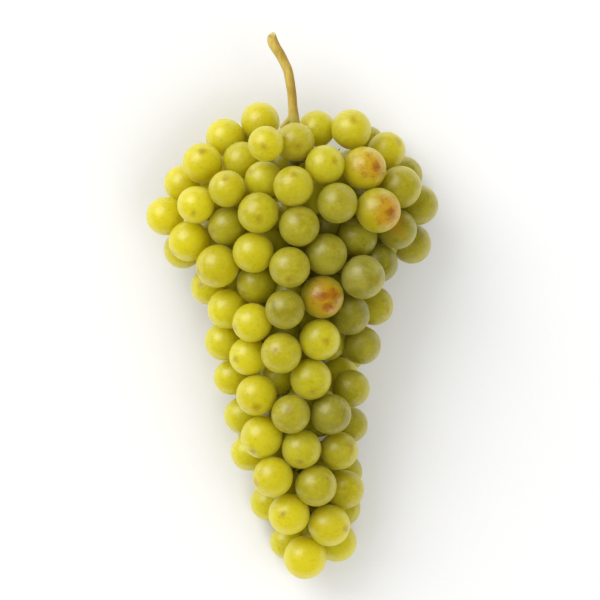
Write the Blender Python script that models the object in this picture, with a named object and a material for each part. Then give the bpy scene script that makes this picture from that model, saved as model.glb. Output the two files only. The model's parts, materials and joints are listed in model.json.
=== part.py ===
"""A bunch of white table grapes, picked and lying on a table, as one stalk and its berries.

Frame: metres, +Z up, table at z = 0. The bunch lies along Y with its cut end at +Y and its tip
at -Y, and the side that faces up is the side that hangs outward on the vine. Lengths below are
in millimetres, as a grower would measure them, and become metres where a mesh is made.
"""
import heapq
import math

import bmesh
import bpy
import numpy as np
from mathutils import Vector

MM = 0.001

# Fits between the pieces, in millimetres
AIR = 0.30            # between two berries, or a berry and the stalk
PRESSED = 1.30        # how far berries that grew pressed together sink into each other
FLATTENED = 0.70      # how far the skin gives where a berry carries weight on the table
BERRY_FACETS = 2      # subdivisions of the sphere that a berry is made from
MOST_NODES = 60

# How deep a berry sits below the bunch's upper surface
FRONT = 0.0
MIDDLE = -5.0
BEHIND = -10.0
TUCKED = -16.0
INSIDE = -19.0
UNDER = -30.0

# How much of a sideways push a berry follows: one that shows, one inside, one underneath
HELD = 0.10
EASED = 0.35
LOOSE = 1.0

# The berries of each sprig: across, along, diameter, depth
SPRIGS = {
    "left_shoulder": [
        (-13.5, 77.5, 16.0, BEHIND), (-28.0, 71.0, 15.8, BEHIND), (-10.5, 67.5, 14.5, FRONT),
        (-37.5, 60.0, 16.6, FRONT), (-21.0, 61.0, 15.7, BEHIND), (-45.5, 51.5, 15.6, BEHIND),
        (-27.0, 49.0, 15.1, FRONT), (-40.0, 42.5, 15.2, FRONT), (-53.0, 38.0, 15.8, BEHIND),
        (-27.0, 33.5, 15.8, BEHIND), (-43.0, 27.5, 16.6, MIDDLE), (-46.0, 24.0, 15.7, TUCKED),
        (-34.5, 47.5, 15.5, INSIDE), (-20.0, 70.0, 14.5, INSIDE), (-19.5, 46.5, 15.0, INSIDE),
    ],
    "top": [
        (1.0, 68.5, 15.9, MIDDLE), (10.5, 74.5, 15.0, BEHIND), (-11.5, 52.5, 15.6, MIDDLE),
        (0.5, 50.0, 16.4, FRONT), (-14.0, 39.0, 16.7, FRONT), (3.0, 33.5, 16.5, FRONT),
        (-3.0, 60.0, 15.0, INSIDE), (-5.5, 42.0, 15.5, INSIDE), (-6.5, 28.0, 16.0, INSIDE),
    ],
    "right_shoulder": [
        (24.5, 74.0, 16.5, FRONT), (39.5, 65.5, 15.5, BEHIND), (13.5, 59.0, 16.1, FRONT),
        (30.0, 57.5, 17.9, FRONT), (19.0, 43.0, 16.5, FRONT), (45.0, 50.0, 17.4, MIDDLE),
        (47.0, 55.5, 15.5, TUCKED), (35.5, 40.0, 18.4, FRONT), (53.0, 42.5, 16.5, BEHIND),
        (27.0, 29.5, 16.3, BEHIND), (43.5, 32.0, 16.2, MIDDLE), (50.5, 26.5, 16.2, TUCKED),
        (10.0, 46.5, 15.5, INSIDE), (22.5, 52.0, 15.5, INSIDE), (39.0, 54.0, 15.5, INSIDE),
        (16.0, 33.0, 16.0, INSIDE), (27.0, 40.0, 14.5, TUCKED), (36.0, 27.5, 15.5, INSIDE),
        (32.0, 69.0, 14.5, INSIDE),
    ],
    "left_side": [
        (-16.0, 22.5, 16.6, FRONT), (-31.0, 17.0, 17.6, FRONT), (-34.5, 8.5, 15.4, BEHIND),
        (-15.5, 9.5, 16.6, BEHIND), (-26.5, -0.5, 16.3, MIDDLE), (-16.5, -6.5, 16.0, FRONT),
        (-29.0, -14.5, 15.5, BEHIND), (-18.0, -20.5, 15.9, MIDDLE), (-25.5, -29.5, 14.5, BEHIND),
        (-23.5, 24.0, 15.5, INSIDE), (-22.5, 10.0, 15.5, INSIDE), (-14.0, -11.5, 15.5, INSIDE),
        (-33.0, 31.0, 15.0, INSIDE),
    ],
    "middle": [
        (14.0, 21.5, 17.2, FRONT), (-1.0, 16.5, 16.7, FRONT), (12.5, 4.5, 17.6, FRONT),
        (-3.0, -1.0, 16.1, FRONT), (11.5, -13.5, 16.8, FRONT), (-4.5, -19.0, 16.7, FRONT),
        (-6.5, -29.5, 14.2, BEHIND), (7.5, -30.5, 16.9, FRONT), (1.5, -12.0, 15.5, INSIDE),
        (6.5, -3.5, 15.0, INSIDE), (3.0, 8.5, 15.0, INSIDE),
    ],
    "right_side": [
        (29.5, 12.5, 17.9, FRONT), (36.0, 18.5, 16.3, BEHIND), (34.0, 0.5, 16.3, BEHIND),
        (24.0, -3.0, 16.7, MIDDLE), (29.0, -16.0, 15.9, BEHIND), (20.0, -29.0, 15.4, BEHIND),
        (24.5, -34.0, 15.4, BEHIND), (18.0, -19.0, 15.5, INSIDE), (20.0, 12.0, 14.5, TUCKED),
        (23.5, 20.5, 15.0, INSIDE),
    ],
    "lower_left": [
        (-14.5, -36.5, 16.7, FRONT), (-21.0, -45.5, 15.0, BEHIND), (-12.5, -54.5, 17.4, FRONT),
        (-17.0, -61.0, 14.9, BEHIND), (-8.0, -70.5, 16.6, FRONT), (-10.0, -82.5, 15.0, BEHIND),
    ],
    "lower_middle": [
        (-0.5, -44.0, 16.1, FRONT), (4.0, -59.5, 16.3, FRONT), (9.5, -74.5, 17.0, FRONT),
        (-1.0, -86.0, 17.0, FRONT), (5.0, -38.0, 14.0, TUCKED), (6.5, -51.5, 15.0, INSIDE),
        (-0.5, -72.5, 15.0, INSIDE), (-5.0, -62.0, 14.0, TUCKED),
    ],
    "lower_right": [
        (16.0, -44.5, 16.6, FRONT), (23.5, -49.5, 15.0, BEHIND), (19.5, -60.0, 15.9, MIDDLE),
        (21.5, -71.0, 15.0, TUCKED), (22.0, -76.5, 16.0, MIDDLE), (19.5, -85.0, 15.0, BEHIND),
        (15.5, -91.5, 17.2, FRONT), (12.5, -65.5, 14.5, INSIDE), (7.5, -91.5, 14.0, TUCKED),
    ],
    "tip": [
        (0.0, -97.5, 14.2, BEHIND), (18.5, -98.5, 16.6, BEHIND), (5.5, -105.0, 17.8, FRONT),
    ],
}

# The bunch as a whole: along, left edge, right edge, thickness as it lies
OUTLINE = np.array([
    (-114.0, 3.0, 8.0, 17.0),
    (-105.0, -4.0, 16.0, 20.0),
    (-95.0, -8.0, 27.0, 36.0),
    (-80.0, -18.0, 30.5, 41.0),
    (-60.0, -25.0, 30.0, 44.0),
    (-40.0, -30.0, 32.0, 48.0),
    (-20.0, -37.0, 37.0, 53.0),
    (0.0, -42.0, 42.5, 58.0),
    (20.0, -54.0, 52.0, 62.0),
    (40.0, -61.0, 61.0, 64.0),
    (60.0, -46.0, 53.0, 60.0),
    (80.0, -22.0, 32.0, 48.0),
    (92.0, -2.0, 4.0, 34.0),
])
WIDEST_AT = 0.44          # height of the bunch's widest level, as a share of its thickness
EDGE_BAND = 3.5           # a berry this near to the outline is at the widest level
TIP_FROM = -80.0          # past here the deeper berries lie on the table

# Underside rows
UNDER_FIRST = 60.0
UNDER_LAST = -84.0
UNDER_ROW = 15.2
UNDER_PITCH = 18.2
UNDER_SHARE = 0.66        # how much of the bunch's width lies near the table
UNDER_INSET = 15.0        # a row's outer berries stay this far inside that width, both sides together
UNDER_SMALLEST = 14.6
UNDER_LARGEST = 16.8
UNDER_WOBBLE = 2.2
UNDER_CURVE = 5.0         # how far the rows would rise at the bunch's edges

# The main stem inside the bunch, and the bare stem up to the cut: across, along, height
RACHIS = np.array([
    (0.6, 92.0, 40.0), (0.6, 78.0, 38.0), (0.0, 60.0, 34.0), (0.0, 40.0, 32.0), (0.0, 20.0, 31.0),
    (0.5, 0.0, 29.0), (1.0, -20.0, 26.0), (1.5, -40.0, 22.5), (3.0, -60.0, 20.0),
    (6.0, -80.0, 17.0), (8.0, -94.0, 14.5),
])
BARE_STEM = np.array([
    (-9.6, 113.2, 36.0), (-8.2, 110.7, 36.5), (-6.5, 107.8, 37.2), (-3.8, 103.3, 38.2),
    (-1.7, 98.6, 39.0), (-0.6, 93.2, 39.6), (0.0, 88.0, 39.6), (0.4, 82.8, 39.0),
])
CUT_END_RADIUS = 2.40
BARE_STEM_RADIUS = 2.15
STEM_BASE_RADIUS = 2.60
STEM_TIP_RADIUS = 0.95
RACHIS_CLEAR = (1.0, 3.0)     # room kept round the main stem at the tip and at the shoulders
LATERAL_FIRST = 12.0
LATERAL_EVERY = 10.0
PEDICEL_RADIUS = 0.60
PEDICEL_COLLAR = 0.95         # the swelling where a pedicel meets its berry
LATERAL_MOST = 1.70
BRANCH_GROWTH = 0.36          # a branch's radius grows with the berries it feeds to this power
GRID = 1.6                    # spacing of the points that a branch may pass through
SQUEEZE = 0.85                # narrowest room that a branch may pass through
OPEN_AIR = 9.0                # a place this far from every berry is outside the bunch
REACH = 3.0                   # a branch ends within this distance of its berry
LEAN = 1.5                    # how much dearer it is to grow back towards the cut end
IN_VIEW = 4.0                 # how much dearer a way is where no berry hides it from above
SHARING = 0.9                 # how much cheaper a way gets for each berry it already feeds
ROUTE_PASSES = 4
SMOOTHING_PASSES = 14
DETAIL = 0.4                  # the finest detail kept where branches run together
STALK_FACETS = 0.028         # share of the fine facets that is kept

# Colours, linear
GREEN = (0.30, 0.30, 0.045)
YELLOW = (0.62, 0.52, 0.06)
AMBER = (0.58, 0.34, 0.06)
STRAW = (0.42, 0.33, 0.12)
SUNBURNT = ("berry_right_shoulder_4", "berry_right_shoulder_8", "berry_middle_3")
SKIN_ROUGHNESS = 0.42
WOOD_ROUGHNESS = 0.65


def outline_at(along):
    """Left edge, right edge and thickness of the bunch at a place along it."""
    return tuple(np.interp(along, OUTLINE[:, 0], OUTLINE[:, k]) for k in (1, 2, 3))


def dome_height(across, along, radius):
    """Height of a berry's middle if the berry just shows in the bunch's upper surface."""
    left, right, thickness = outline_at(along)
    middle = (left + right) / 2
    reach = max((right - left) / 2 - radius, 1.0)
    out = min(abs(across - middle) / reach, 1.0)
    widest = max(WIDEST_AT * thickness, radius)
    return widest + (thickness - radius - widest) * math.sqrt(1 - out * out)


def shown_berries():
    """A row for each listed berry: place, radius, how easily it moves sideways, depth."""
    rows = []
    for sprig in SPRIGS.values():
        for across, along, diameter, depth in sprig:
            radius = diameter / 2
            left, right, _ = outline_at(along)
            at_edge = min(across - left, right - across) < radius + EDGE_BAND
            height = dome_height(across, along, radius)
            if depth != BEHIND or not at_edge:
                height += depth
            if along < TIP_FROM and depth <= BEHIND:
                height = radius
            give = HELD if depth > INSIDE else EASED
            rows.append((across, along, max(height, radius), radius, give, depth))
    return rows


def underside_berries():
    """Staggered rows on the table side, which curve up a little towards the bunch's edges."""
    chance = np.random.default_rng(11)
    rows = []
    for row, along in enumerate(np.arange(UNDER_FIRST, UNDER_LAST, -UNDER_ROW)):
        left, right, _ = outline_at(along)
        middle = (left + right) / 2
        half = (right - left) / 2
        count = max(round((2 * half * UNDER_SHARE - UNDER_INSET) / UNDER_PITCH) + 1, 1)
        stagger = 0.0 if count > 4 else (0.25 if row % 2 else -0.25)
        for k in range(count):
            across = middle + (k - (count - 1) / 2 + stagger) * UNDER_PITCH
            radius = chance.uniform(UNDER_SMALLEST, UNDER_LARGEST) / 2
            wobble = chance.uniform(-UNDER_WOBBLE, UNDER_WOBBLE, 2)
            height = radius - FLATTENED + UNDER_CURVE * ((across - middle) / half) ** 2
            rows.append((across + wobble[0], along + wobble[1], height, radius, LOOSE, UNDER))
    return rows


def rachis_foot(points):
    """The nearest point of the main stem, the distance to it, and the room it needs there."""
    foot = np.zeros((len(points), 3))
    distance = np.full(len(points), np.inf)
    for start, end in zip(RACHIS[:-1], RACHIS[1:]):
        run = end - start
        share = np.clip((points - start) @ run / (run @ run), 0, 1)
        spot = start + share[:, None] * run
        far = np.linalg.norm(points - spot, axis=1)
        nearer = far < distance
        distance[nearer] = far[nearer]
        foot[nearer] = spot[nearer]
    room = np.interp(foot[:, 1], (-100.0, 90.0), RACHIS_CLEAR)
    return foot, distance, room


def settle(rows, pairs, rounds):
    """Moves the berries until none overlap, with the given pairs pressed together.

    A berry that shows keeps its place across and along, and mostly rises or sinks. For the
    first three quarters of the rounds every berry is also drawn back to its wanted place.
    """
    place = rows[:, :3].copy()
    home = place.copy()
    radius = rows[:, 3]
    one, two = np.triu_indices(len(rows), 1)
    want = radius[one] + radius[two] + AIR
    pressed = np.zeros(len(one), bool)
    row_of = {pair: k for k, pair in enumerate(zip(one.tolist(), two.tolist()))}
    for a, b in pairs:
        k = row_of[(min(a, b), max(a, b))]
        pressed[k] = True
        want[k] = radius[a] + radius[b] - PRESSED
    give = np.stack([rows[:, 4], rows[:, 4], np.ones(len(rows))], axis=1)
    shown = rows[:, 4] == HELD
    under = rows[:, 4] == LOOSE
    level_pull = np.where(shown, 0.08, 0.02)
    height_pull = np.where(under, 0.10, 0.02)
    pull = np.stack([level_pull, level_pull, height_pull], axis=1)
    for step in range(rounds):
        place += (home - place) * pull * max(0.0, 1 - step / (0.75 * rounds))
        for _ in range(2):
            # Overlapping pairs part, and pressed pairs meet, each moving as far as it gives
            apart = place[one] - place[two]
            far = np.linalg.norm(apart, axis=1)
            miss = want - far
            acts = (miss > 0) | pressed
            way = apart[acts] / far[acts, None]
            give_one = give[one[acts]] * way
            give_two = give[two[acts]] * way
            total = ((give_one + give_two) * way).sum(1)
            push = (0.45 * miss[acts] / total)[:, None]
            move = np.zeros_like(place)
            np.add.at(move, one[acts], push * give_one)
            np.add.at(move, two[acts], -push * give_two)
            length = np.linalg.norm(move, axis=1)[:, None]
            place += move * np.minimum(1.0, 1.0 / np.maximum(length, 1e-9))
            # The main stem and the table keep their room
            foot, distance, room = rachis_foot(place)
            miss = radius + room + 0.4 - distance
            away = (place - foot) / distance[:, None]
            share = (give * away * away).sum(1).clip(0.2)
            near = miss > 0
            place[near] += (0.5 * miss / share)[near, None] * (give * away)[near]
            floor = radius - FLATTENED * (place[:, 2] < radius)
            place[:, 2] = np.maximum(place[:, 2], floor)
    return place


def gather(place, rows, wanted):
    """Joins the berries that aren't shown singly into clusters of touching neighbours.

    Small clusters join first, and a berry is pressed against three others at most. Two berries
    that both hold their places join only where one already lies well over the other.
    """
    radius = rows[:, 3]
    held = rows[:, 4] == HELD
    single = rows[:, 5] > BEHIND
    loose = [k for k in range(len(rows)) if not single[k]]
    clusters = {k: ([k], []) for k in loose}
    home = {k: k for k in loose}
    ties = dict.fromkeys(loose, 0)
    near = []
    for a in loose:
        for b in loose:
            reach = radius[a] + radius[b]
            far = np.linalg.norm(place[a] - place[b]) - reach
            if b <= a or far > 4.5:
                continue
            level = math.hypot(*(place[a] - place[b])[:2]) - reach
            if held[a] and held[b] and (level > -0.9 or far > 2.5):
                continue
            near.append((far, a, b))
    while len(clusters) > wanted:
        joins = []
        for far, a, b in near:
            if home[a] != home[b] and max(ties[a], ties[b]) < 3:
                size = len(clusters[home[a]][0]) + len(clusters[home[b]][0])
                joins.append((size + 0.5 * far, a, b))
        _, a, b = min(joins)
        kept, gone = home[a], home[b]
        berries, pairs = clusters.pop(gone)
        clusters[kept] = (clusters[kept][0] + berries, clusters[kept][1] + pairs + [(a, b)])
        for k in berries:
            home[k] = kept
        ties[a] += 1
        ties[b] += 1
    return list(clusters.values())


def free_room(place, radius):
    """The points between the berries that a branch could pass through, and their neighbours."""
    low = np.array([place[:, 0].min(), place[:, 1].min(), 1.0])
    high = place.max(0)
    axes = [np.arange(low[k], high[k], GRID) for k in range(3)]
    shape = tuple(len(axis) for axis in axes)
    grid = np.stack(np.meshgrid(*axes, indexing="ij"), -1).reshape(-1, 3)
    room = np.full(len(grid), np.inf)
    nearest = np.zeros(len(grid), int)
    for k in range(len(place)):
        far = np.linalg.norm(grid - place[k], axis=1) - radius[k]
        less = far < room
        room[less] = far[less]
        nearest[less] = k
    # A branch stays on the stem's side of the berry that it passes
    inward = rachis_foot(grid)[1] < rachis_foot(place)[1][nearest] + 1.5
    return grid, shape, room, (room > SQUEEZE) & (room < OPEN_AIR) & inward


def route(shape, free, weight, sources):
    """The cheapest way from the main stem to every free point, as each point's parent."""
    cost = np.full(len(free), np.inf)
    parent = np.full(len(free), -1)
    cost[sources] = 0.0
    heap = [(0.0, k) for k in sources]
    heapq.heapify(heap)
    steps = [(a, b, c) for a in (-1, 0, 1) for b in (-1, 0, 1) for c in (-1, 0, 1) if a or b or c]
    while heap:
        spent, k = heapq.heappop(heap)
        if spent > cost[k]:
            continue
        x, y, z = np.unravel_index(k, shape)
        for a, b, c in steps:
            spot = (x + a, y + b, z + c)
            if min(spot) < 0 or spot[0] >= shape[0] or spot[1] >= shape[1] or spot[2] >= shape[2]:
                continue
            other = int((spot[0] * shape[1] + spot[1]) * shape[2] + spot[2])
            if not free[other]:
                continue
            lean = LEAN if b > 0 else 1.0
            total = spent + GRID * math.sqrt(a * a + b * b + c * c) * weight[other] * lean
            if total < cost[other]:
                cost[other] = total
                parent[other] = k
                heapq.heappush(heap, (total, other))
    return cost, parent


def hidden_from_above(points, place, radius):
    """Whether a berry lies over each point."""
    hidden = np.zeros(len(points), bool)
    for middle, size in zip(place, radius):
        level = np.hypot(points[:, 0] - middle[0], points[:, 1] - middle[1])
        hidden |= (level < size) & (points[:, 2] < middle[2])
    return hidden


def grow_branches(place, radius):
    """Lets laterals and pedicels grow out to every berry through the room that is left.

    Each pass makes the ways that several berries share cheaper, so they run together.
    """
    grid, shape, room, free = free_room(place, radius)
    run = np.concatenate([[0], np.cumsum(np.linalg.norm(np.diff(RACHIS, axis=0), axis=1))])
    sources = set()
    for at in np.arange(LATERAL_FIRST, run[-1], LATERAL_EVERY):
        fork = np.array([np.interp(at, run, RACHIS[:, k]) for k in range(3)])
        far = np.where(free, np.linalg.norm(grid - fork, axis=1), np.inf)
        if far.min() < 4.0:
            sources.add(int(np.argmin(far)))
    tight = 1.0 + 1.2 / np.maximum(room, 0.3)
    tight[~hidden_from_above(grid, place, radius)] *= IN_VIEW
    weight = tight
    reach = []
    for k in range(len(place)):
        far = np.linalg.norm(grid - place[k], axis=1) - radius[k]
        close = np.nonzero((far < REACH) & free)[0]
        reach.append((close, 3.0 * far[close]))
    for _ in range(ROUTE_PASSES):
        cost, parent = route(shape, free, weight, sorted(sources))
        load = np.zeros(len(grid))
        ends = []
        for close, extra in reach:
            end = int(close[np.argmin(cost[close] + extra)])
            ends.append(end)
            while end >= 0:
                load[end] += 1
                end = parent[end]
        weight = tight / (1.0 + SHARING * np.minimum(load, 6))
    used = np.nonzero(load)[0]
    index = {int(k): n for n, k in enumerate(used)}
    parents = np.array([index.get(int(parent[k]), -1) for k in used])
    return grid[used], parents, load[used], [index[end] for end in ends]


def relax_branches(points, parents, thick, place, radius):
    """Draws the branches smooth while they stay clear of every berry and of the table."""
    foot = rachis_foot(points)[0] + np.array([0.0, 2.0, 0.0])
    inner = parents >= 0
    is_end = np.ones(len(points), bool)
    is_end[parents[inner]] = False
    every = np.arange(len(points))
    for _ in range(SMOOTHING_PASSES):
        total = np.where(inner[:, None], points[parents], foot)
        count = np.ones(len(points))
        np.add.at(total, parents[inner], points[inner])
        np.add.at(count, parents[inner], 1)
        drawn = 0.5 * points + 0.5 * total / count[:, None]
        points = np.where(is_end[:, None], points, drawn)
        for _ in range(3):
            apart = points[:, None] - place[None]
            far = np.linalg.norm(apart, axis=2)
            miss = radius[None] + thick[:, None] + AIR + 0.1 - far
            worst = miss.argmax(1)
            push = np.maximum(miss[every, worst], 0) / far[every, worst]
            points = points + apart[every, worst] * push[:, None]
            points[:, 2] = np.maximum(points[:, 2], thick + 0.4)
    return points, foot


def add_tube(curve, points, radii):
    spline = curve.splines.new("POLY")
    spline.points.add(len(points) - 1)
    for knot, point, radius in zip(spline.points, points, radii):
        knot.co = (*(np.asarray(point) * MM), 1.0)
        knot.radius = radius


def build_stalk(place, radius):
    """The stalk: bare stem, main stem, laterals and pedicels, grown as one piece."""
    points, parents, load, ends = grow_branches(place, radius)
    thick = np.minimum(PEDICEL_RADIUS * load ** BRANCH_GROWTH, LATERAL_MOST)
    points, foot = relax_branches(points, parents, thick, place, radius)
    curve = bpy.data.curves.new("stalk_guide", "CURVE")
    curve.dimensions = "3D"
    curve.bevel_depth = MM
    curve.bevel_resolution = 1
    curve.use_fill_caps = True
    for k, parent in enumerate(parents):
        start = foot[k] if parent < 0 else points[parent]
        add_tube(curve, [start, points[k]], [thick[k], thick[k]])
    for berry, end in enumerate(ends):
        apart = points[end] - place[berry]
        way = apart / np.linalg.norm(apart)
        neck = place[berry] + way * (radius[berry] + 1.6)
        collar = place[berry] + way * (radius[berry] + AIR + 0.15)
        add_tube(curve, [points[end], neck, collar], [PEDICEL_RADIUS, PEDICEL_RADIUS, PEDICEL_COLLAR])
    inside = RACHIS[1:]
    bare = np.full(len(BARE_STEM), BARE_STEM_RADIUS)
    bare[:2] = CUT_END_RADIUS
    tapered = np.linspace(STEM_BASE_RADIUS, STEM_TIP_RADIUS, len(inside))
    add_tube(curve, np.vstack([BARE_STEM, inside]), np.concatenate([bare, tapered]))
    guide = bpy.data.objects.new("stalk_guide", curve)
    tubes = bpy.data.meshes.new_from_object(guide)
    bpy.data.objects.remove(guide)
    stalk = bpy.data.objects.new("stalk", tubes)
    bpy.context.scene.collection.objects.link(stalk)
    grown = stalk.modifiers.new("grown_together", "REMESH")
    grown.mode = "VOXEL"
    grown.voxel_size = DETAIL * MM
    grown.use_smooth_shade = True
    fewer = stalk.modifiers.new("fewer_facets", "DECIMATE")
    fewer.ratio = STALK_FACETS
    fewer.use_collapse_triangulate = True
    give_material(stalk, STRAW, WOOD_ROUGHNESS)
    return points[ends]


def berry_object(name, middle, radius, pole):
    """One berry, its poles on the line through its pedicel, cut flat where it lies on the table."""
    mesh = bpy.data.meshes.new(name)
    shape = bmesh.new()
    bmesh.ops.create_icosphere(shape, subdivisions=BERRY_FACETS, radius=radius * MM)
    turn = pole.to_track_quat("Z", "Y").to_matrix()
    bmesh.ops.rotate(shape, matrix=turn, verts=shape.verts)
    drop = -middle[2] * MM
    if min(vert.co.z for vert in shape.verts) < drop - 0.05 * MM:
        cut = bmesh.ops.bisect_plane(
            shape, geom=shape.verts[:] + shape.edges[:] + shape.faces[:], dist=1e-7,
            plane_co=(0, 0, drop), plane_no=(0, 0, -1), clear_outer=True)
        rim = [part for part in cut["geom_cut"] if isinstance(part, bmesh.types.BMEdge)]
        bmesh.ops.contextual_create(shape, geom=rim)
        bmesh.ops.recalc_face_normals(shape, faces=shape.faces)
    for face in shape.faces:
        face.smooth = True
    shape.to_mesh(mesh)
    shape.free()
    mesh.set_sharp_from_angle(angle=math.radians(50))
    berry = bpy.data.objects.new(name, mesh)
    berry.location = [value * MM for value in middle]
    bpy.context.scene.collection.objects.link(berry)
    return berry


def give_material(piece, colour, roughness):
    material = bpy.data.materials.new(piece.name)
    material.use_nodes = True
    shader = material.node_tree.nodes["Principled BSDF"]
    shader.inputs["Base Color"].default_value = (*colour, 1.0)
    shader.inputs["Roughness"].default_value = roughness
    shader.inputs["Metallic"].default_value = 0.0
    material.diffuse_color = (*colour, 1.0)
    piece.data.materials.clear()
    piece.data.materials.append(material)


def berry_colour(name, middle):
    """Riper and yellower on the bunch's left side, greener in the middle and to the right."""
    if name in SUNBURNT:
        return AMBER
    ripe = min(max(0.5 - middle[0] / 70.0, 0.0), 1.0)
    return tuple(np.array(GREEN) + (np.array(YELLOW) - np.array(GREEN)) * ripe)


def cluster_name(middle, taken):
    height = "upper" if middle[1] > 25 else "middle" if middle[1] > -40 else "lower"
    side = "left" if middle[0] < -10 else "right" if middle[0] > 12 else "centre"
    level = "under" if middle[2] < 18 else "side" if side != "centre" else "core"
    stem = f"berries_{height}_{side}_{level}"
    number = 1 + sum(name.startswith(stem) for name in taken)
    return f"{stem}_{number}"


def build_berries(place, rows, clusters, poles):
    radius = rows[:, 3]
    names = []
    for sprig, berries in SPRIGS.items():
        names += [f"berry_{sprig}_{k + 1}" for k in range(len(berries))]
    for k, name in enumerate(names):
        if rows[k, 5] > BEHIND:
            berry = berry_object(name, place[k], radius[k], poles[k])
            give_material(berry, berry_colour(name, place[k]), SKIN_ROUGHNESS)
    taken = []
    for berries, pairs in clusters:
        name = cluster_name(place[berries].mean(0), taken)
        taken.append(name)
        first = berries[0]
        cluster = berry_object(name, place[first], radius[first], poles[first])
        joined = {first}
        waiting = list(pairs)
        while waiting:
            pair = next(pair for pair in waiting if joined & set(pair))
            waiting.remove(pair)
            new = pair[1] if pair[0] in joined else pair[0]
            joined.add(new)
            other = berry_object(f"{name}_member_{len(joined)}", place[new], radius[new], poles[new])
            other.hide_render = True
            other.display_type = "WIRE"
            union = cluster.modifiers.new(f"grown_against_{len(joined)}", "BOOLEAN")
            union.operation = "UNION"
            union.solver = "EXACT"
            union.object = other
        give_material(cluster, berry_colour(name, place[berries].mean(0)), SKIN_ROUGHNESS)


def clear_scene():
    for old in list(bpy.data.objects):
        bpy.data.objects.remove(old)


def build():
    clear_scene()
    rows = np.array(shown_berries() + underside_berries())
    radius = rows[:, 3]
    loose = settle(rows, [], 700)
    singles = int((rows[:, 5] > BEHIND).sum())
    clusters = gather(loose, rows, MOST_NODES - 1 - singles)
    pairs = [pair for _, cluster_pairs in clusters for pair in cluster_pairs]
    place = settle(rows, pairs, 1200)
    feet = build_stalk(place, radius)
    poles = [Vector(foot - middle) for foot, middle in zip(feet, place)]
    build_berries(place, rows, clusters, poles)


build()
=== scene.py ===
import json
import math

import bmesh
import bpy
import numpy as np
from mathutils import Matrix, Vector, noise


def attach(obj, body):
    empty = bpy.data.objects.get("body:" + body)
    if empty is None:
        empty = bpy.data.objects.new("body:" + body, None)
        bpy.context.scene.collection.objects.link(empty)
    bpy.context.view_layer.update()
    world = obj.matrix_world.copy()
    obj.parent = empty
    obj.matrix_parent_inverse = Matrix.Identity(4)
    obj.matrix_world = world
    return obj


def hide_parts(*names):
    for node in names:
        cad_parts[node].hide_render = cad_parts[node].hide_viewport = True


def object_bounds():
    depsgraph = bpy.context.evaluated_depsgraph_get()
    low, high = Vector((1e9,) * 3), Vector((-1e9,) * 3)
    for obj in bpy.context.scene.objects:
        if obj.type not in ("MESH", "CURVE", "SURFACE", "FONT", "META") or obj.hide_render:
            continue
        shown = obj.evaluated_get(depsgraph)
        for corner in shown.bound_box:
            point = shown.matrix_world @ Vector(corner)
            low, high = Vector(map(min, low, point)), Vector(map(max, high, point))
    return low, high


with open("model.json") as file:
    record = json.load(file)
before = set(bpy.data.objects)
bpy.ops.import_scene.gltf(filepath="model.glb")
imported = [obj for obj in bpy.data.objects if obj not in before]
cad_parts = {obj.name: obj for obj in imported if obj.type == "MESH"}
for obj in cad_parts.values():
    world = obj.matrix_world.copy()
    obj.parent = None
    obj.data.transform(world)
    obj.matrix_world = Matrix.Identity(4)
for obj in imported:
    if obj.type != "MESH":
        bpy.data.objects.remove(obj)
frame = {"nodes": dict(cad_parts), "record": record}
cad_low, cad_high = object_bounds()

# ---------------------------------------------------------------------------------------------
# The stalk: the woody main stem and the thin branches and pedicels that carry the grapes. It
# grew in one piece, and was cut through just above the bunch with secateurs. The bare end is
# modelled finely, and the branches inside the bunch are the frame's, rounded off.

MM = 0.001
MERGE = 1e-6
STEM_FROM = 74 * MM           # below this the stem is the frame's own, deep among the grapes
STEM_OVERLAP = 2 * MM         # how far the two stretches of stem run into each other
STEM_SHORT = 0.9 * MM         # the last ring's distance from the frame's cut end
STEM_RING = 1.2 * MM          # distance between the rings that the bare stem is drawn from
STEM_SIDES = 56
STEM_EASING = 3               # passes that ease the corners out of the frame's line
# Ribs along the stem: how many, how high as a share of its radius, and where they start
STEM_RIBS = ((2, 0.020, 0.4), (3, 0.020, 2.1), (5, 0.012, 4.0), (11, 0.006, 1.3))
STEM_TWIST = 0.010            # turn of the ribs per millimetre
STEM_WOBBLE = 0.05            # slow changes of thickness along the stem, as a share of its radius
WOBBLES = 160                 # how many of them there are in a metre
STEM_ROUGH = 0.02             # dents all over, as a share of its radius
DENTS = 900                   # how many there are in a metre along it
DENTS_ROUND = 3               # and in a radian round it
STEM_SLIM = 0.94              # the dried skin of the stem has shrunk a little
FLARE = 0.10                  # how much wider the crushed cut end is
FLARE_RUN = 3.0 * MM          # how far from the cut it fades out
CUT_SLANT = 0.75              # the cut leans back, so that its face looks up
SLANT_TURN = -0.5             # how far the slant is turned round the stem
SLANT_RUN = 1.6 * MM          # how far from the cut the slant and its split fade out
NOTCH_DEPTH = 0.70 * MM       # the split that the blade left in the cut end
NOTCH_AT = 2.5                # its angle round the stem
NOTCH_WIDTH = 0.35
CUT_RIM = 0.22 * MM           # the rolled edge round the cut face
CUT_RISE = 0.10 * MM
PITH_IN = 0.75 * MM           # how far in from the rim the pith starts
CUT_DISH = 0.35 * MM          # how deep it has sunk
TWIG_AT = 80.0 * MM           # the stub of a side branch: where it leaves the stem, and its way
TWIG_WAY = (-0.62, -0.66, -0.12)
TWIG_LENGTH = 9.0 * MM
TWIG_FOOT = 1.45 * MM
TWIG_END = 1.15 * MM
TWIG_OUT = 3.6 * MM           # the distance of its middle from the stem's
TWIG_SIDES = 20
TWIG_EDGE = 0.35 * MM
CUT_SIDES = 200               # the most corners that a cut through the frame's stem can have
BRANCH_EASING = 0.3           # how far the branches' corners are eased
INSIDE_ENDS = (68 * MM, 76 * MM)      # along the stalk, where the look of the inside fades out,
GREEN_STARTS = (68 * MM, 74 * MM)     # and where the green round the stub fades in and out
GREEN_ENDS = (77 * MM, 82 * MM)
CUT_STARTS = 1.3 * MM         # how far from the end the pale cut face fades in
CUT_FULL = 0.4 * MM
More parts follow.
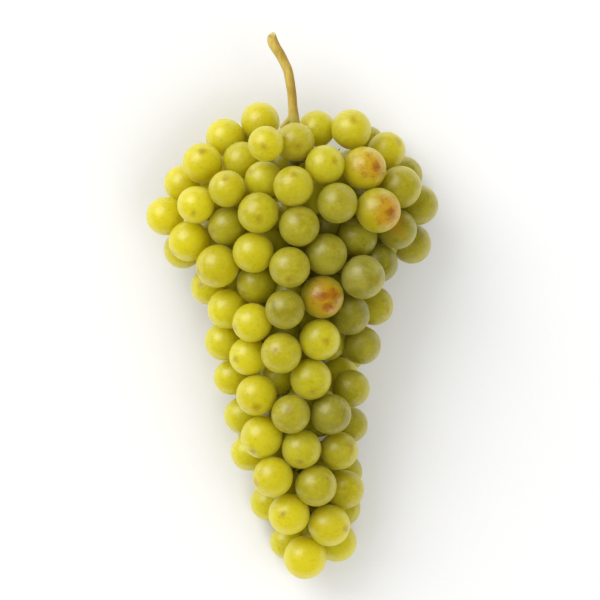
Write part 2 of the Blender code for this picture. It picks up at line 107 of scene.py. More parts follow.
STRAW = (0.58, 0.42, 0.075)
BROWN_STRAW = (0.42, 0.27, 0.030)
# Painted light and painted shade on the stem: paler straw where it faces left, brown where it faces
# right
PAINTED_LIGHT_STRAW = (0.66, 0.54, 0.14)
PAINTED_SHADE_BROWN = (0.36, 0.20, 0.018)
TWIG_GREEN = (0.52, 0.48, 0.10)
GREEN_WOOD = (0.16, 0.15, 0.012)
PALE_CUT = (0.62, 0.60, 0.28)
DARK_BARK = (0.17, 0.09, 0.015)


class Finish:
    """A material being built. node() adds a node, sets it up and gives back one output."""

    def __init__(self, name):
        self.material = bpy.data.materials.new(name)
        self.material.use_nodes = True
        self.tree = self.material.node_tree
        self.shader = self.tree.nodes["Principled BSDF"]

    def node(self, kind, settings=None, inputs=None, output=0):
        made = self.tree.nodes.new(kind)
        for name, value in (settings or {}).items():
            setattr(made, name, value)
        self.feed(made, inputs or {})
        return Value(self, made.outputs[output])

    def feed(self, node, inputs):
        """Sets sockets to numbers and colours, or links values to them."""
        for name, value in inputs.items():
            socket = node.inputs[name]
            if isinstance(value, Value):
                self.tree.links.new(value.socket, socket)
            elif isinstance(value, tuple) and len(value) == 3 and socket.type == "RGBA":
                socket.default_value = (*value, 1.0)
            else:
                socket.default_value = value

    def surface(self, **inputs):
        """Feeds the shader's own sockets; an underscore in a name stands for a space."""
        self.feed(self.shader, {name.replace("_", " "): value for name, value in inputs.items()})

    def place(self):
        return self.node("ShaderNodeTexCoord", output="Object")

    def noise(self, place, scale, detail=2.0, roughness=0.5, stretch=None):
        """Soft noise from 0 to 1; scale is patches per metre."""
        if stretch:
            place = self.node("ShaderNodeMapping", inputs={"Vector": place, "Scale": stretch})
        return self.node(
            "ShaderNodeTexNoise",
            inputs={"Vector": place, "Scale": scale, "Detail": detail, "Roughness": roughness},
            output="Fac",
        )

    def step(self, value, start, end):
        """0 below start, 1 above end, smooth between."""
        return self.node(
            "ShaderNodeMapRange",
            {"interpolation_type": "SMOOTHSTEP"},
            {"Value": value, "From Min": start, "From Max": end},
        )

    def part(self, vector, axis):
        """One of the three numbers of a vector."""
        return self.node("ShaderNodeSeparateXYZ", inputs={"Vector": vector}, output=axis)

    def mix(self, factor, first, second):
        """Colours mixed by a factor."""
        return self.node(
            "ShaderNodeMix",
            {"data_type": "RGBA"},
            {"Factor": factor, 6: first, 7: second},
            output=2,
        )

    def bump(self, height, strength, distance, below=None):
        """A bump, on top of another one where below is given."""
        inputs = {"Height": height, "Strength": strength, "Distance": distance}
        if below is not None:
            inputs["Normal"] = below
        return self.node("ShaderNodeBump", inputs=inputs)


class Value:
    """A number in a material, so that sums on it are written as plain expressions."""

    def __init__(self, finish, socket):
        self.finish = finish
        self.socket = socket

    def math(self, operation, first, second):
        return self.finish.node("ShaderNodeMath", {"operation": operation}, {0: first, 1: second})

    def __add__(self, other):
        return self.math("ADD", self, other)

    def __radd__(self, other):
        return self.math("ADD", other, self)

    def __sub__(self, other):
        return self.math("SUBTRACT", self, other)

    def __rsub__(self, other):
        return self.math("SUBTRACT", other, self)

    def __mul__(self, other):
        return self.math("MULTIPLY", self, other)

    def __rmul__(self, other):
        return self.math("MULTIPLY", other, self)

    def __pow__(self, other):
        return self.math("POWER", self, other)


def finished(name, shape, finish):
    """Makes an object from a bmesh, smooth shaded, with its finish, riding on the bunch."""
    mesh = bpy.data.meshes.new(name)
    shape.to_mesh(mesh)
    shape.free()
    mesh.shade_smooth()
    mesh.materials.append(finish.material)
    piece = bpy.data.objects.new(name, mesh)
    bpy.context.scene.collection.objects.link(piece)
    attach(piece, "root")
    return piece


def merged_copy(node):
    """A welded bmesh copy of a CAD node."""
    shape = bmesh.new()
    shape.from_mesh(frame["nodes"][node].data)
    bmesh.ops.remove_doubles(shape, verts=shape.verts, dist=MERGE)
    return shape


def stem_line():
    """Middle and radius of the frame's stem at even steps, from inside the bunch to the cut."""
    top = cad_high.y
    line = []
    rings = round((top - STEM_FROM) / STEM_RING)
    for along in np.linspace(STEM_FROM, top - STEM_SHORT, rings):
        section = merged_copy("stalk")
        cut = bmesh.ops.bisect_plane(
            section,
            geom=section.verts[:] + section.edges[:] + section.faces[:],
            plane_co=(0, along, 0),
            plane_no=(0, 1, 0),
        )
        rim = np.array([v.co for v in cut["geom_cut"] if isinstance(v, bmesh.types.BMVert)])
        section.free()
        middle = rim.mean(0)
        line.append((*middle, float(np.linalg.norm(rim - middle, axis=1).mean())))
    return np.array(line)


def angle_from_before(v, angles):
    """The angle of a newly pulled corner: that of the corner it was pulled from."""
    for e in v.link_edges:
        other = e.other_vert(v)
        if other in angles:
            return angles[other]


def bare_stem():
    """The stem up to its cut end: rings pulled along its line, ribbed and slightly twisted."""
    line = stem_line()
    for _ in range(STEM_EASING):
        line[1:-1] = (line[:-2] + 2 * line[1:-1] + line[2:]) / 4
    stem = bmesh.new()
    ring = bmesh.ops.create_circle(stem, segments=STEM_SIDES, radius=1.0)["verts"]
    edges = stem.edges[:]
    angles = {v: math.atan2(v.co.y, v.co.x) for v in ring}
    for k, (x, y, z, thick) in enumerate(line):
        if k:
            pulled = bmesh.ops.extrude_edge_only(stem, edges=edges)["geom"]
            ring = [v for v in pulled if isinstance(v, bmesh.types.BMVert)]
            edges = [e for e in pulled if isinstance(e, bmesh.types.BMEdge)]
            angles = {v: angle_from_before(v, angles) for v in ring}
        after, before = line[min(k + 1, len(line) - 1)], line[max(k - 1, 0)]
        ahead = Vector(after[:3]) - Vector(before[:3])
        across = ahead.cross(Vector((0, 0, 1))).normalized()
        up = across.cross(ahead).normalized()
        turn = STEM_TWIST * (y - line[0][1]) / MM
        left = line[-1][1] - y
        at_end = math.exp(-left / SLANT_RUN)
        swell = 1.0 + STEM_WOBBLE * noise.noise(Vector((0.0, y * WOBBLES, 3.7)))
        swell += FLARE * math.exp(-left / FLARE_RUN)
        for v in ring:
            angle = angles[v]
            round_it = Vector((math.cos(angle), math.sin(angle), 0)) * DENTS_ROUND
            ribs = sum(
                size * math.cos(count * (angle + turn) + phase) for count, size, phase in STEM_RIBS
            )
            ribs += STEM_ROUGH * noise.noise(round_it + Vector((0, 0, y * DENTS)))
            reach = thick * STEM_SLIM * (swell + ribs)
            reach -= NOTCH_DEPTH * math.exp(-((angle - NOTCH_AT) / NOTCH_WIDTH) ** 2) * at_end
            side = across * math.cos(angle) + up * math.sin(angle)
            slant = math.sin(angle + SLANT_TURN) * reach * CUT_SLANT * at_end
            v.co = Vector((x, y, z)) + side * reach - ahead.normalized() * slant
    # The cut face: an edge that rolls in, and the dished pith
    way = (Vector(line[-1][:3]) - Vector(line[-4][:3])).normalized()
    face = bmesh.ops.contextual_create(stem, geom=edges)["faces"][0]
    bmesh.ops.inset_individual(stem, faces=[face], thickness=CUT_RIM, depth=CUT_RISE)
    bmesh.ops.inset_individual(stem, faces=[face], thickness=PITH_IN, depth=0.0)
    bmesh.ops.translate(stem, verts=face.verts, vec=-way * CUT_DISH)
    bmesh.ops.poke(stem, faces=[face])
    # The stub of a side branch that broke off where the bunch begins
    twig = bmesh.ops.create_cone(
        stem,
        cap_ends=True,
        segments=TWIG_SIDES,
        radius1=TWIG_FOOT,
        radius2=TWIG_END,
        depth=TWIG_LENGTH,
    )["verts"]
    root = min(line, key=lambda row: abs(row[1] - TWIG_AT))
    lean = Vector(TWIG_WAY).to_track_quat("Z", "Y").to_matrix()
    bmesh.ops.rotate(stem, verts=twig, cent=(0, 0, 0), matrix=lean)
    bmesh.ops.translate(stem, verts=twig, vec=Vector(root[:3]) + Vector(TWIG_WAY) * TWIG_OUT)
    corners = set(twig)
    rims = [
        e for e in stem.edges
        if e.verts[0] in corners and any(len(face.verts) == TWIG_SIDES for face in e.link_faces)
    ]
    bmesh.ops.bevel(
        stem, geom=rims, offset=TWIG_EDGE, segments=2, profile=0.5, affect="EDGES", material=-1
    )
    open_edges = [e for e in stem.edges if e.is_boundary]
    bmesh.ops.holes_fill(stem, edges=open_edges, sides=STEM_SIDES)
    bmesh.ops.recalc_face_normals(stem, faces=stem.faces)
    return stem


wood = Finish("straw_wood")
place = wood.place()
fibres = wood.noise(place, scale=700, detail=4.0, roughness=0.6, stretch=(1.0, 0.10, 1.0))
flecks = wood.noise(place, scale=1500, detail=3.0, roughness=0.6, stretch=(1.0, 0.25, 1.0))
patches = wood.noise(place, scale=160)
along = wood.part(place, "Y")
facing_right = wood.part(wood.node("ShaderNodeNewGeometry", output="Normal"), "X")
# Straw with browner fibres, then painted shade and painted light on its two sides
bark = wood.mix(wood.step(fibres + 0.5 * patches, 0.55, 0.95), STRAW, BROWN_STRAW)
# Painted shade: browner on the side that faces right, away from the key light
painted_shade_right = wood.step(facing_right + 0.8 * (patches - 0.5), 0.0, 0.9)
bark = wood.mix(0.70 * painted_shade_right, bark, PAINTED_SHADE_BROWN)
# Painted light: paler on the side that faces left, towards the key light
painted_light_left = 1.0 - wood.step(facing_right + 0.6 * (patches - 0.5), -0.9, -0.1)
bark = wood.mix(0.45 * painted_light_left, bark, PAINTED_LIGHT_STRAW)
bark = wood.mix(0.45 * wood.step(flecks, 0.58, 0.72), bark, DARK_BARK)
# Still green round the stub, and dark green wood inside the bunch
green_twig = wood.step(along, *GREEN_STARTS) * (1.0 - wood.step(along, *GREEN_ENDS))
bark = wood.mix(0.55 * green_twig, bark, TWIG_GREEN)
inside = 1.0 - wood.step(along, *INSIDE_ENDS)
bark = wood.mix(0.90 * inside, bark, GREEN_WOOD)
cut_face = wood.step(along, cad_high.y - CUT_STARTS, cad_high.y - CUT_FULL)
bark = wood.mix(0.80 * cut_face, bark, PALE_CUT)
wood.surface(
    Base_Color=bark,
    Roughness=0.50 + 0.25 * fibres,
    Normal=wood.bump(flecks, 0.30, 0.10 * MM, wood.bump(fibres, 0.30, 0.15 * MM)),
    Subsurface_Weight=0.12,
    Subsurface_Radius=(1.0, 0.7, 0.25),
    Subsurface_Scale=1.0 * MM,
    Specular_IOR_Level=0.35,
)

branches = merged_copy("stalk")
bmesh.ops.bisect_plane(
    branches,
    geom=branches.verts[:] + branches.edges[:] + branches.faces[:],
    plane_co=(0, STEM_FROM + STEM_OVERLAP, 0),
    plane_no=(0, 1, 0),
    clear_outer=True,
)
cut_edges = [e for e in branches.edges if e.is_boundary]
bmesh.ops.holes_fill(branches, edges=cut_edges, sides=CUT_SIDES)
bmesh.ops.triangulate(branches, faces=branches.faces)
bmesh.ops.smooth_vert(
    branches,
    verts=branches.verts,
    factor=BRANCH_EASING,
    use_axis_x=True,
    use_axis_y=True,
    use_axis_z=True,
)
stem = bare_stem()
stem_mesh = bpy.data.meshes.new("bare_stem")
stem.to_mesh(stem_mesh)
stem.free()
branches.from_mesh(stem_mesh)
bpy.data.meshes.remove(stem_mesh)
stalk = finished("woody_stalk", branches, wood)
rounding = stalk.modifiers.new("rounding", "SUBSURF")
rounding.levels = rounding.render_levels = 1
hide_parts("stalk")

# ---------------------------------------------------------------------------------------------
# The grapes: round berries with a thin waxy skin over clear, juicy flesh. Each hangs from its
# own pedicel, and where it grew against a neighbour or lies on the table its skin is pressed
# flat. The dry spot of the old flower, the navel, is at the end away from the pedicel.

FINENESS = 5                  # how often the round that a grape starts from is subdivided
BERRY_LEAST = 6 * MM          # between these radii, a sphere in the frame is a grape
BERRY_MOST = 10 * MM
SAME_SPHERE = 0.05 * MM
FLAT_PAIR = 1e-11             # two facets flatter than this together say nothing of a sphere
SPHERE_VOTES = 12             # pairs of facets that have to agree on a sphere
SWELL = 0.11 * MM             # how much fuller a grape is than its place in the frame
LONGER = 1.015                # and how much longer, from its pedicel to its navel
LONGER_SPREAD = (-0.010, 0.012)
UNEVEN = 0.010                # slow unevenness, as a share of its radius
LUMPS = 1.1                   # how many lumps there are in a radius
LUMPS_APART = 7.3             # keeps one grape's lumps from being like the next one's
TOUCH_NEAR = 0.2 * MM         # a neighbour this near presses on the grape
TOUCH_GAP = 0.015 * MM
SOFTNESS = 0.22 * MM          # how gently the skin turns into a pressed spot
DIMPLE_DEPTH = 0.45 * MM      # where the pedicel goes in
DIMPLE_WIDTH = 0.30
NAVEL_DEPTH = 0.16 * MM
NAVEL_WIDTH = 0.11
NAVEL_STRAY = 0.22            # how far from straight opposite the pedicel the navel may lie
ANY_SIDE = (0.3, 0.5, 0.8)    # no navel faces exactly this way
SUN_AND_LIGHT_MIDDLE = 0.55             # how sunny and how brightly lit the middle of the bunch is made, from 0 to 1
SUN_AND_LIGHT_WIDTH = 90 * MM           # and how far across the bunch from full sun and light to none
# Ripeness, with painted light in it, and bloom of the grapes that have none given below
RIPE_LEAST = 0.25
RIPE_AND_LIT_BY_SUN = 0.50
RIPE_SPREAD = 0.06
BLOOM_LEAST = 0.08
BLOOM_BY_SHADE = 0.15
BLOOM_SPREAD = (0.7, 1.3)
# Colours of the skin and the flesh under it
PALE_FLESH = (0.60, 0.55, 0.05)
DEEP_FLESH = (0.20, 0.18, 0.003)
BLOOM = (0.44, 0.415, 0.15)
AMBER_TONE = (0.47, 0.270, 0.012)
BURNT_TONE = (0.34, 0.150, 0.004)
BURNT_CORE = (0.25, 0.095, 0.003)
DOTS = 330.0                  # how many dots there could be in a metre
DOT_TONE = (0.20, 0.15, 0.02)
NAVEL_HALO = (0.33, 0.24, 0.012)
NAVEL_SPOT = (0.16, 0.09, 0.02)


def true_spheres(node):
    """Middle and radius of each berry in a CAD node, from pairs of facets on one sphere."""
    shape = merged_copy(node)
    rounds = []
    for edge in shape.edges:
        corners = {v for face in edge.link_faces for v in face.verts}
        if len(corners) != 4:
            continue
        a, b, c, d = (np.array(v.co) for v in sorted(corners, key=lambda v: v.index))
        sides = np.array((b - a, c - a, d - a))
        if abs(np.linalg.det(sides)) < FLAT_PAIR:
            continue
        middle = a + np.linalg.solve(2 * sides, (sides * sides).sum(1))
        radius = float(np.linalg.norm(middle - a))
        if BERRY_LEAST < radius < BERRY_MOST:
            rounds.append((*middle, radius))
    shape.free()
    rounds = np.array(rounds)
    spheres = []
    while len(rounds):
        same = np.linalg.norm(rounds[:, :3] - rounds[0, :3], axis=1) < SAME_SPHERE
        if same.sum() > SPHERE_VOTES:
            spheres.append(np.median(rounds[same], axis=0))
        rounds = rounds[~same]
    return spheres


def grape_skin(name, tone_from, tone_to):
    """Waxy translucent grape skin between two tones, by ripeness that also holds painted light."""
    skin = Finish(name)
    place = skin.place()
    ripe_and_painted_light, bloom, blush, burn = (
        skin.node("ShaderNodeAttribute", {"attribute_name": label}, output="Fac")
        for label in ("ripe_and_painted_light", "bloom", "blush", "burn")
    )
    local = skin.node("ShaderNodeAttribute", {"attribute_name": "skin"}, output="Vector")
    cloud = skin.noise(place, scale=110)
    mottle = skin.noise(place, scale=420, detail=4.0, roughness=0.6)
    grain = skin.noise(place, scale=1600, detail=3.0, roughness=0.6)
    blots = skin.noise(place, scale=260, detail=3.0, roughness=0.65)
    speckle = skin.noise(place, scale=900, detail=3.0, roughness=0.7)
    # Body colour, a little uneven, yellower in soft clouds
    tone = skin.mix(ripe_and_painted_light + 0.35 * (cloud - 0.5) + 0.25 * (mottle - 0.5), tone_from, tone_to)
    tone = skin.mix(0.35 * skin.step(mottle, 0.48, 0.70) * ripe_and_painted_light, tone, PALE_FLESH)
    # Fine grain of the flesh under the skin
    tone = skin.mix(0.35 * skin.step(speckle, 0.52, 0.70), tone, PALE_FLESH)
    tone = skin.mix(0.30 * (1.0 - skin.step(speckle, 0.32, 0.46)), tone, DEEP_FLESH)
    # Waxy bloom, thin and rubbed off in places
    film = bloom * skin.step(cloud + 0.4 * mottle, 0.40, 0.85)
    tone = skin.mix(film, tone, BLOOM)
    # Sun-browned skin: an amber blush, freckles in it, and brown blotches where it is burnt
    blushing = skin.step(blush + (blots - 0.5) + 0.8 * (speckle - 0.5), 0.15, 0.85)
    tone = skin.mix(0.75 * blushing, tone, AMBER_TONE)
    freckle = skin.step(speckle + 0.5 * (blots - 0.5), 0.53, 0.60) * skin.step(blush, 0.15, 0.60)
    tone = skin.mix(0.55 * freckle, tone, BURNT_TONE)
    burnt = skin.step(burn + 1.2 * (blots - 0.5) + (speckle - 0.5), 0.38, 0.75)
    tone = skin.mix(0.75 * burnt, tone, BURNT_TONE)
    core = skin.step(burn + 1.2 * (mottle - 0.5) + 0.8 * (speckle - 0.5), 0.60, 0.95)
    tone = skin.mix(0.55 * core, tone, BURNT_CORE)
    # Lenticels, the tiny dark dots of the skin
    cells = skin.node(
        "ShaderNodeTexVoronoi",
        {"feature": "F1"},
        {"Vector": place, "Scale": DOTS},
        output="Distance",
    )
    dots = (1.0 - skin.step(cells, 0.055, 0.10)) * skin.step(mottle, 0.50, 0.60)
    tone = skin.mix(0.45 * dots, tone, DOT_TONE)
    # The navel at the flower end
    x, y = skin.part(local, "X"), skin.part(local, "Y")
    off = (x * x + y * y) ** 0.5
    at_end = 1.0 - skin.step(skin.part(local, "Z"), -0.9, -0.5)
    halo = (1.0 - skin.step(off + 0.50 * (mottle - 0.5), 0.02, 0.34)) * at_end
    spot = (1.0 - skin.step(off + 0.25 * (grain - 0.5), 0.010, 0.085)) * at_end
    tone = skin.mix(0.60 * halo, tone, NAVEL_HALO)
    tone = skin.mix(0.22 * spot, tone, NAVEL_SPOT)
    skin.surface(
        Base_Color=tone,
        Roughness=0.36 + 0.30 * (speckle - 0.5) + 0.15 * film + 0.20 * spot,
        Normal=skin.bump(speckle, 0.55, 0.06 * MM, skin.bump(mottle, 0.35, 0.12 * MM)),
        Subsurface_Weight=0.90,
        Subsurface_Radius=(1.0, 0.9, 0.10),
        Subsurface_Scale=30.0 * MM,
        Subsurface_Anisotropy=0.8,
        Specular_IOR_Level=1.0,
        Sheen_Weight=0.45,
        Sheen_Roughness=0.30,
        Sheen_Tint=(1.0, 0.95, 0.20, 1.0),
    )
    return skin


def unit(vector):
    """The vector made 1 long."""
    return np.array(vector) / np.linalg.norm(vector)


def lumps(points, seed, size):
    """Slow unevenness over a grape, about -1 to 1."""
    return np.array([noise.noise(Vector(p) * size + Vector((seed, 2 * seed, 0))) for p in points])


def spread(points, patches):
    """How strongly patches colour each point of a grape, fading outwards."""
    total = np.zeros(len(points))
    for faces, width, strength in patches:
        off = np.linalg.norm(points - unit(faces), axis=1) / width
        total = np.maximum(total, strength * np.exp(-off * off))
    return total


def give(past):
    """How far skin that reaches past a limit gives way, starting softly before it."""
    past = np.maximum(past + SOFTNESS, 0.0)
    return past - SOFTNESS * (1 - np.exp(-past / SOFTNESS))


skins = {
    "berry_yellow": grape_skin("yellow_grape_skin", (0.24, 0.225, 0.004), (0.66, 0.565, 0.003)),
    "berry_green": grape_skin("green_grape_skin", (0.220, 0.202, 0.008), (0.64, 0.560, 0.003)),
    "berry_olive": grape_skin("olive_grape_skin", (0.20, 0.185, 0.005), (0.62, 0.525, 0.003)),
    "berry_amber": grape_skin("amber_grape_skin", (0.30, 0.26, 0.005), (0.56, 0.47, 0.004)),
}

# How ripe the grapes that show most are made, from 0, deep olive green, to 1, clear yellow
# Each value sets how light a grape is as well as its hue, so it holds painted light and shade
# besides ripeness: several grapes deep under the others are lightened to full yellow
RIPENESS_AND_PAINTED_LIGHT = {
    "grape_left_shoulder_11": 0.95, "grape_left_shoulder_3": 0.70, "grape_left_shoulder_4": 0.90,
    "grape_left_shoulder_7": 0.60, "grape_left_shoulder_8": 0.90, "grape_left_side_1": 0.70,
    "grape_left_side_2": 0.60, "grape_left_side_5": 1.00, "grape_left_side_6": 0.85,
    "grape_left_side_8": 1.00, "grape_lower_centre_under_1_2": 1.00,
    "grape_lower_centre_under_1_3": 1.00, "grape_lower_centre_under_1_4": 1.00,
    "grape_lower_left_1": 0.75, "grape_lower_left_3": 0.85, "grape_lower_left_5": 0.75,
    "grape_lower_middle_1": 0.30, "grape_lower_middle_2": 0.60, "grape_lower_middle_3": 0.40,
    "grape_lower_middle_4": 1.00, "grape_lower_right_1": 0.10, "grape_lower_right_3": 0.50,
    "grape_lower_right_5": 0.55, "grape_lower_right_7": 0.90, "grape_lower_right_side_1_1": 0.30,
    "grape_lower_right_under_1_1": 0.85, "grape_lower_right_under_1_4": 1.00,
    "grape_middle_1": 0.15,
    "grape_middle_2": 0.35, "grape_middle_3": 0.30, "grape_middle_4": 0.15, "grape_middle_5": 0.70,
    "grape_middle_6": 0.55, "grape_middle_8": 0.65, "grape_middle_centre_core_1_1": 1.00,
    "grape_middle_centre_core_1_2": 0.30, "grape_middle_centre_core_1_4": 0.10,
    "grape_middle_centre_core_1_5": 1.00, "grape_middle_centre_core_1_6": 0.55,
    "grape_middle_centre_core_2_1": 1.00, "grape_middle_left_under_1_3": 1.00,
    "grape_middle_right_side_1_3": 0.25, "grape_middle_right_side_1_4": 0.00,
    "grape_middle_right_side_1_5": 0.00, "grape_middle_right_side_1_7": 0.20,
    "grape_middle_right_side_2_1": 0.35, "grape_middle_right_under_1_6": 0.20,
    "grape_middle_right_under_1_7": 1.00, "grape_right_shoulder_1": 0.75,
    "grape_right_shoulder_11": 0.10, "grape_right_shoulder_3": 0.70, "grape_right_shoulder_4": 0.95,
    "grape_right_shoulder_5": 0.25, "grape_right_shoulder_6": 0.35, "grape_right_shoulder_8": 0.55,
    "grape_right_side_1": 0.00, "grape_right_side_4": 0.05, "grape_tip_3": 1.00,
    "grape_top_1": 0.55,
    "grape_top_3": 0.85, "grape_top_4": 0.60, "grape_top_5": 0.55, "grape_top_6": 0.30,
    "grape_upper_centre_core_1_1": 0.85, "grape_upper_centre_core_2_2": 0.40,
    "grape_upper_centre_core_2_3": 0.75, "grape_upper_centre_core_2_4": 0.95,
    "grape_upper_centre_core_2_6": 1.00, "grape_upper_left_side_1_2": 0.70,
    "grape_upper_left_side_1_5": 0.90, "grape_upper_left_side_1_6": 1.00,
    "grape_upper_left_side_1_7": 0.30, "grape_upper_left_side_2_1": 1.00,
    "grape_upper_left_under_1_4": 1.00, "grape_upper_right_under_1_1": 0.25,
    "grape_upper_right_under_1_9": 0.85,
}
# Grapes with more of the waxy bloom left on them than the others
BLOOMY = {
    "grape_right_side_1": 0.40, "grape_right_side_4": 0.25, "grape_top_1": 0.25,
    "grape_right_shoulder_5": 0.25, "grape_middle_1": 0.20,
}
# Sun-browned skin: the amber blushes and the burnt blotches, each with the way that it faces,
# its width as a share of the grape's radius, and its strength
BLUSHES = {
    "berry_right_shoulder_4": (((0.30, 0.25, 0.90), 1.1, 0.70), ((0.60, 0.10, 0.80), 0.8, 1.0)),
    "berry_right_shoulder_8": (((0.60, -0.10, 0.79), 0.85, 1.1), ((0.10, 0.55, 0.80), 0.6, 0.45)),
    "berry_middle_3": (((0.30, -0.15, 0.94), 1.0, 1.15), ((0.0, 0.75, 0.65), 0.6, 0.7)),
    "berry_right_shoulder_11": (((-0.1, 0.2, 0.95), 0.8, 0.6),),
    "berry_right_shoulder_1": (((0.0, -0.5, 0.8), 0.5, 0.3),),
}
BLOTCHES = {
    "berry_right_shoulder_4": (((0.56, 0.06, 0.82), 0.34, 0.90), ((0.05, 0.50, 0.86), 0.40, 0.35)),
    "berry_right_shoulder_8": (
        ((0.56, -0.10, 0.82), 0.36, 0.90), ((0.45, -0.55, 0.70), 0.45, 0.35),
    ),
    "berry_middle_3": (
        ((0.05, 0.0, 1.0), 0.40, 0.90), ((0.56, 0.10, 0.82), 0.46, 0.85),
        ((0.28, -0.42, 0.86), 0.45, 0.85),
    ),
    "berry_right_shoulder_11": (((-0.1, 0.2, 0.95), 0.5, 0.25),),
}
# Navels that show, where they aren't simply opposite the pedicel
NAVELS = {
    "berry_left_shoulder_4": (0.0, 0.55, 0.80), "berry_left_shoulder_7": (-0.10, 0.50, 0.85),
    "berry_left_shoulder_8": (-0.08, -0.45, 0.88), "berry_right_shoulder_1": (0.08, 0.45, 0.88),
    "berry_middle_2": (-0.05, -0.60, 0.80), "berry_middle_8": (0.10, -0.60, 0.80),
    "berry_lower_left_1": (0.0, -0.55, 0.82), "berry_lower_middle_2": (-0.05, -0.60, 0.78),
    "berry_top_4": (0.05, 0.55, 0.82), "berry_middle_5": (0.35, -0.05, 0.92),
}

slot_of = {row["node"]: row["material_slot"] for row in frame["record"]["subparts"]}
berries = []
for node in sorted(slot_of):
    if node != "stalk":
        for sphere in true_spheres(node):
            berries.append((node, sphere[:3], sphere[3]))
# Small grapes deep inside that never got room to swell. The frame has no nodes for them. They
# close gaps that one could see through from the side.
INNER_MOST = 7.4 * MM         # no inner grape is larger than this with the gap round it
INNER_GAP = 0.25 * MM
INNER = (
    (2.0, -10.5, 19.5), (2.0, 4.5, 16.5), (-6.0, -21.0, 18.0), (-10.0, -37.5, 19.5),
    (8.0, 37.5, 19.5), (-6.0, 15.0, 21.0), (20.0, -1.5, 21.0),
)
for place in INNER:
    middle = np.array(place) * MM
    room = min(np.linalg.norm(middle - b[1]) - b[2] for b in berries)
    berries.append(("berries_inner", middle, min(room, INNER_MOST) - INNER_GAP))
middles = np.array([b[1] for b in berries])
radii = np.array([b[2] for b in berries])
bark_points = np.array([v.co for v in frame["nodes"]["stalk"].data.vertices])
chance = np.random.default_rng(5)

ball = bmesh.new()
bmesh.ops.create_icosphere(ball, subdivisions=FINENESS, radius=1.0)
ball_mesh = bpy.data.meshes.new("ball")
ball.to_mesh(ball_mesh)
ball.free()

counts = {}
for k, (node, middle, radius) in enumerate(berries):
    # A berry_ node is one grape, and a berries_ node is a cluster whose grapes are numbered
    counts[node] = counts.get(node, 0) + 1
    kind, where = node.split("_", 1)
    name = f"grape_{where}" if kind == "berry" else f"grape_{where}_{counts[node]}"
    mesh = ball_mesh.copy()
    mesh.name = name
    points = np.zeros(len(mesh.vertices) * 3)
    mesh.vertices.foreach_get("co", points)
    points = points.reshape(-1, 3)
    # Which way the pedicel and the navel lie
    nearest = bark_points[np.argmin(np.linalg.norm(bark_points - middle, axis=1))]
    pedicel = unit(nearest - middle)
    if node in NAVELS:
        navel = unit(NAVELS[node])
    else:
        navel = unit(-pedicel + chance.normal(0, NAVEL_STRAY, 3))
    # Its own slightly long and uneven round
    along = points @ navel
    shaped = points * (radius + SWELL)
    longer = LONGER - 1 + chance.uniform(*LONGER_SPREAD)
    shaped += np.outer(along, navel) * radius * longer
    shaped += points * (lumps(points, k * LUMPS_APART, LUMPS) * UNEVEN * radius)[:, None]
    off = np.linalg.norm(points - pedicel, axis=1) / DIMPLE_WIDTH
    shaped -= points * (DIMPLE_DEPTH * np.exp(-off * off))[:, None]
    off = np.linalg.norm(points - navel, axis=1) / NAVEL_WIDTH
    shaped -= points * (NAVEL_DEPTH * np.exp(-off * off))[:, None]
    # Pressed flat against its neighbours
    gaps = np.linalg.norm(middles - middle, axis=1) - radii - radius
    for other in np.nonzero(gaps < 2 * SWELL + TOUCH_NEAR)[0]:
        if other == k:
            continue
        way = middles[other] - middle
        far = np.linalg.norm(way)
        way = way / far
        limit = (far * far + radius ** 2 - radii[other] ** 2) / (2 * far) - TOUCH_GAP
        shaped -= np.outer(give(shaped @ way - limit), way)
    # And where it lies on the table
    shaped[:, 2] += give(-shaped[:, 2] - middle[2])
    mesh.vertices.foreach_set("co", (shaped + middle).ravel())
    mesh.update()
    # Looks: its given ripeness and bloom, or those of where it lies in the bunch, and sun-browned
    # patches
    # Grapes towards the left, where the key light comes from, are made yellower and lighter:
    # partly their own ripening in the sun, partly painted light
    sunny_and_lit = min(max(SUN_AND_LIGHT_MIDDLE - middle[0] / SUN_AND_LIGHT_WIDTH, 0.0), 1.0)
    ripe_and_painted_light = RIPE_LEAST + RIPE_AND_LIT_BY_SUN * sunny_and_lit + chance.uniform(-RIPE_SPREAD, RIPE_SPREAD)
    ripe_and_painted_light = RIPENESS_AND_PAINTED_LIGHT.get(name, ripe_and_painted_light)
    bloom = (BLOOM_LEAST + BLOOM_BY_SHADE * (1 - sunny_and_lit)) * chance.uniform(*BLOOM_SPREAD)
    bloom = BLOOMY.get(name, bloom)
    blush = spread(points, BLUSHES.get(node, ()))
    burn = spread(points, BLOTCHES.get(node, ()))
    even = np.ones(len(points))
    looks = {"ripe_and_painted_light": ripe_and_painted_light * even, "bloom": bloom * even, "blush": blush, "burn": burn}
    for label, values in looks.items():
        layer = mesh.attributes.new(label, "FLOAT", "POINT")
        layer.data.foreach_set("value", values.astype(np.float32))
    # Places on the skin, with the navel at z = -1
    side = unit(np.cross(navel, ANY_SIDE))
    local = points @ np.array((side, np.cross(-navel, side), -navel)).T
    layer = mesh.attributes.new("skin", "FLOAT_VECTOR", "POINT")
    layer.data.foreach_set("vector", local.astype(np.float32).ravel())
    mesh.shade_smooth()
    slot = slot_of.get(node, "berry_olive")
    mesh.materials.append(skins[slot].material)
    grape = bpy.data.objects.new(name, mesh)
    bpy.context.scene.collection.objects.link(grape)
    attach(grape, "root")
    if node in slot_of:
        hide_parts(node)
bpy.data.meshes.remove(ball_mesh)

# ---------------------------------------------------------------------------------------------
# The table top, pale and matt, with large soft lights as in a product studio: a broad one high
# on the left behind the bunch, and a weak one to fill the shadows. The weak one and the pale
# surroundings give light but don't show in the grapes' shine.

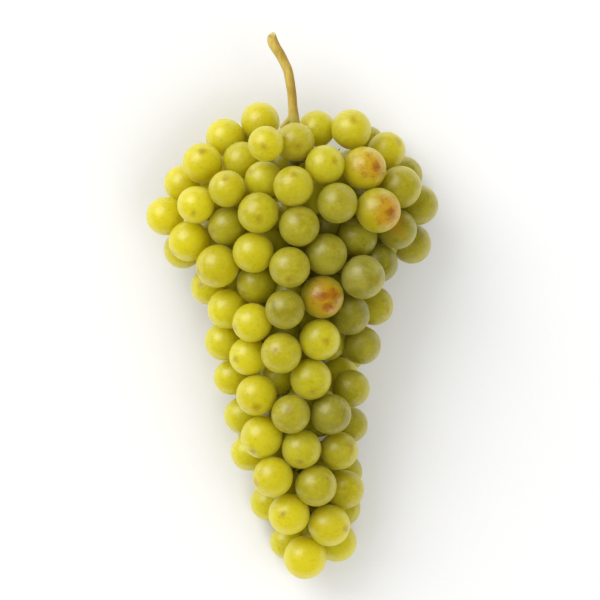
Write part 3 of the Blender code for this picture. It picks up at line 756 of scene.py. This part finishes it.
FLOOR_HALF = 2.5
LAMP_DISTANCE = 2.2
SURROUNDINGS = 0.62
WHITE = (1.0, 1.0, 1.0)
floor_shape = bmesh.new()
bmesh.ops.create_grid(floor_shape, x_segments=1, y_segments=1, size=FLOOR_HALF)
floor_mesh = bpy.data.meshes.new("floor")
floor_shape.to_mesh(floor_mesh)
floor_shape.free()
paper = Finish("pale_paper")
tooth = paper.noise(paper.place(), scale=900, detail=3.0)
paper.surface(
    Base_Color=paper.mix(tooth, (0.90, 0.90, 0.90), (0.94, 0.94, 0.94)),
    Roughness=0.85,
    Specular_IOR_Level=0.2,
    Normal=paper.bump(tooth, 0.05, 0.1 * MM),
)
floor_mesh.materials.append(paper.material)
floor = bpy.data.objects.new("floor", floor_mesh)
bpy.context.scene.collection.objects.link(floor)

MIDDLE = (cad_low + cad_high) / 2


def soft_light(name, direction, size, power, colour, shines):
    """A round light aimed at the bunch. With shines it shows in reflections."""
    light = bpy.data.lights.new(name, "AREA")
    light.shape = "DISK"
    light.size = size
    light.energy = power
    light.color = colour
    lamp = bpy.data.objects.new(name, light)
    lamp.location = MIDDLE + Vector(direction).normalized() * LAMP_DISTANCE
    lamp.rotation_mode = "QUATERNION"
    lamp.rotation_quaternion = Vector(direction).to_track_quat("Z", "Y")
    lamp.visible_glossy = shines
    bpy.context.scene.collection.objects.link(lamp)


soft_light(
    "key",
    direction=(-0.62, 0.60, 0.70),
    size=2.10,
    power=31.5,
    colour=(1.0, 0.99, 0.97),
    shines=True,
)
soft_light(
    "fill", direction=(0.45, -0.40, 0.85), size=2.0, power=15.0, colour=WHITE, shines=False
)

world = bpy.data.worlds.new("studio")
world.use_nodes = True
background = world.node_tree.nodes["Background"]
background.inputs["Color"].default_value = (*WHITE, 1.0)
background.inputs["Strength"].default_value = SURROUNDINGS
world.cycles_visibility.glossy = False
bpy.context.scene.world = world
bpy.context.scene.view_settings.view_transform = "Standard"

# The camera, straight above the bunch, far off with a long lens
CAMERA_HEIGHT = 2.5           # above the level that VIEW_WIDTH is measured at
VIEW_WIDTH = 0.2508
AIM = (3.3 * MM, 2.9 * MM)
EYE_LEVEL = 30 * MM           # that level, about half way up the bunch
camera_data = bpy.data.cameras.new("camera")
camera_data.sensor_width = 36.0
camera_data.lens = camera_data.sensor_width * CAMERA_HEIGHT / VIEW_WIDTH
camera_data.clip_end = 20.0
camera = bpy.data.objects.new("camera", camera_data)
camera.location = (*AIM, EYE_LEVEL + CAMERA_HEIGHT)
bpy.context.scene.collection.objects.link(camera)
bpy.context.scene.camera = camera

bpy.context.view_layer.update()
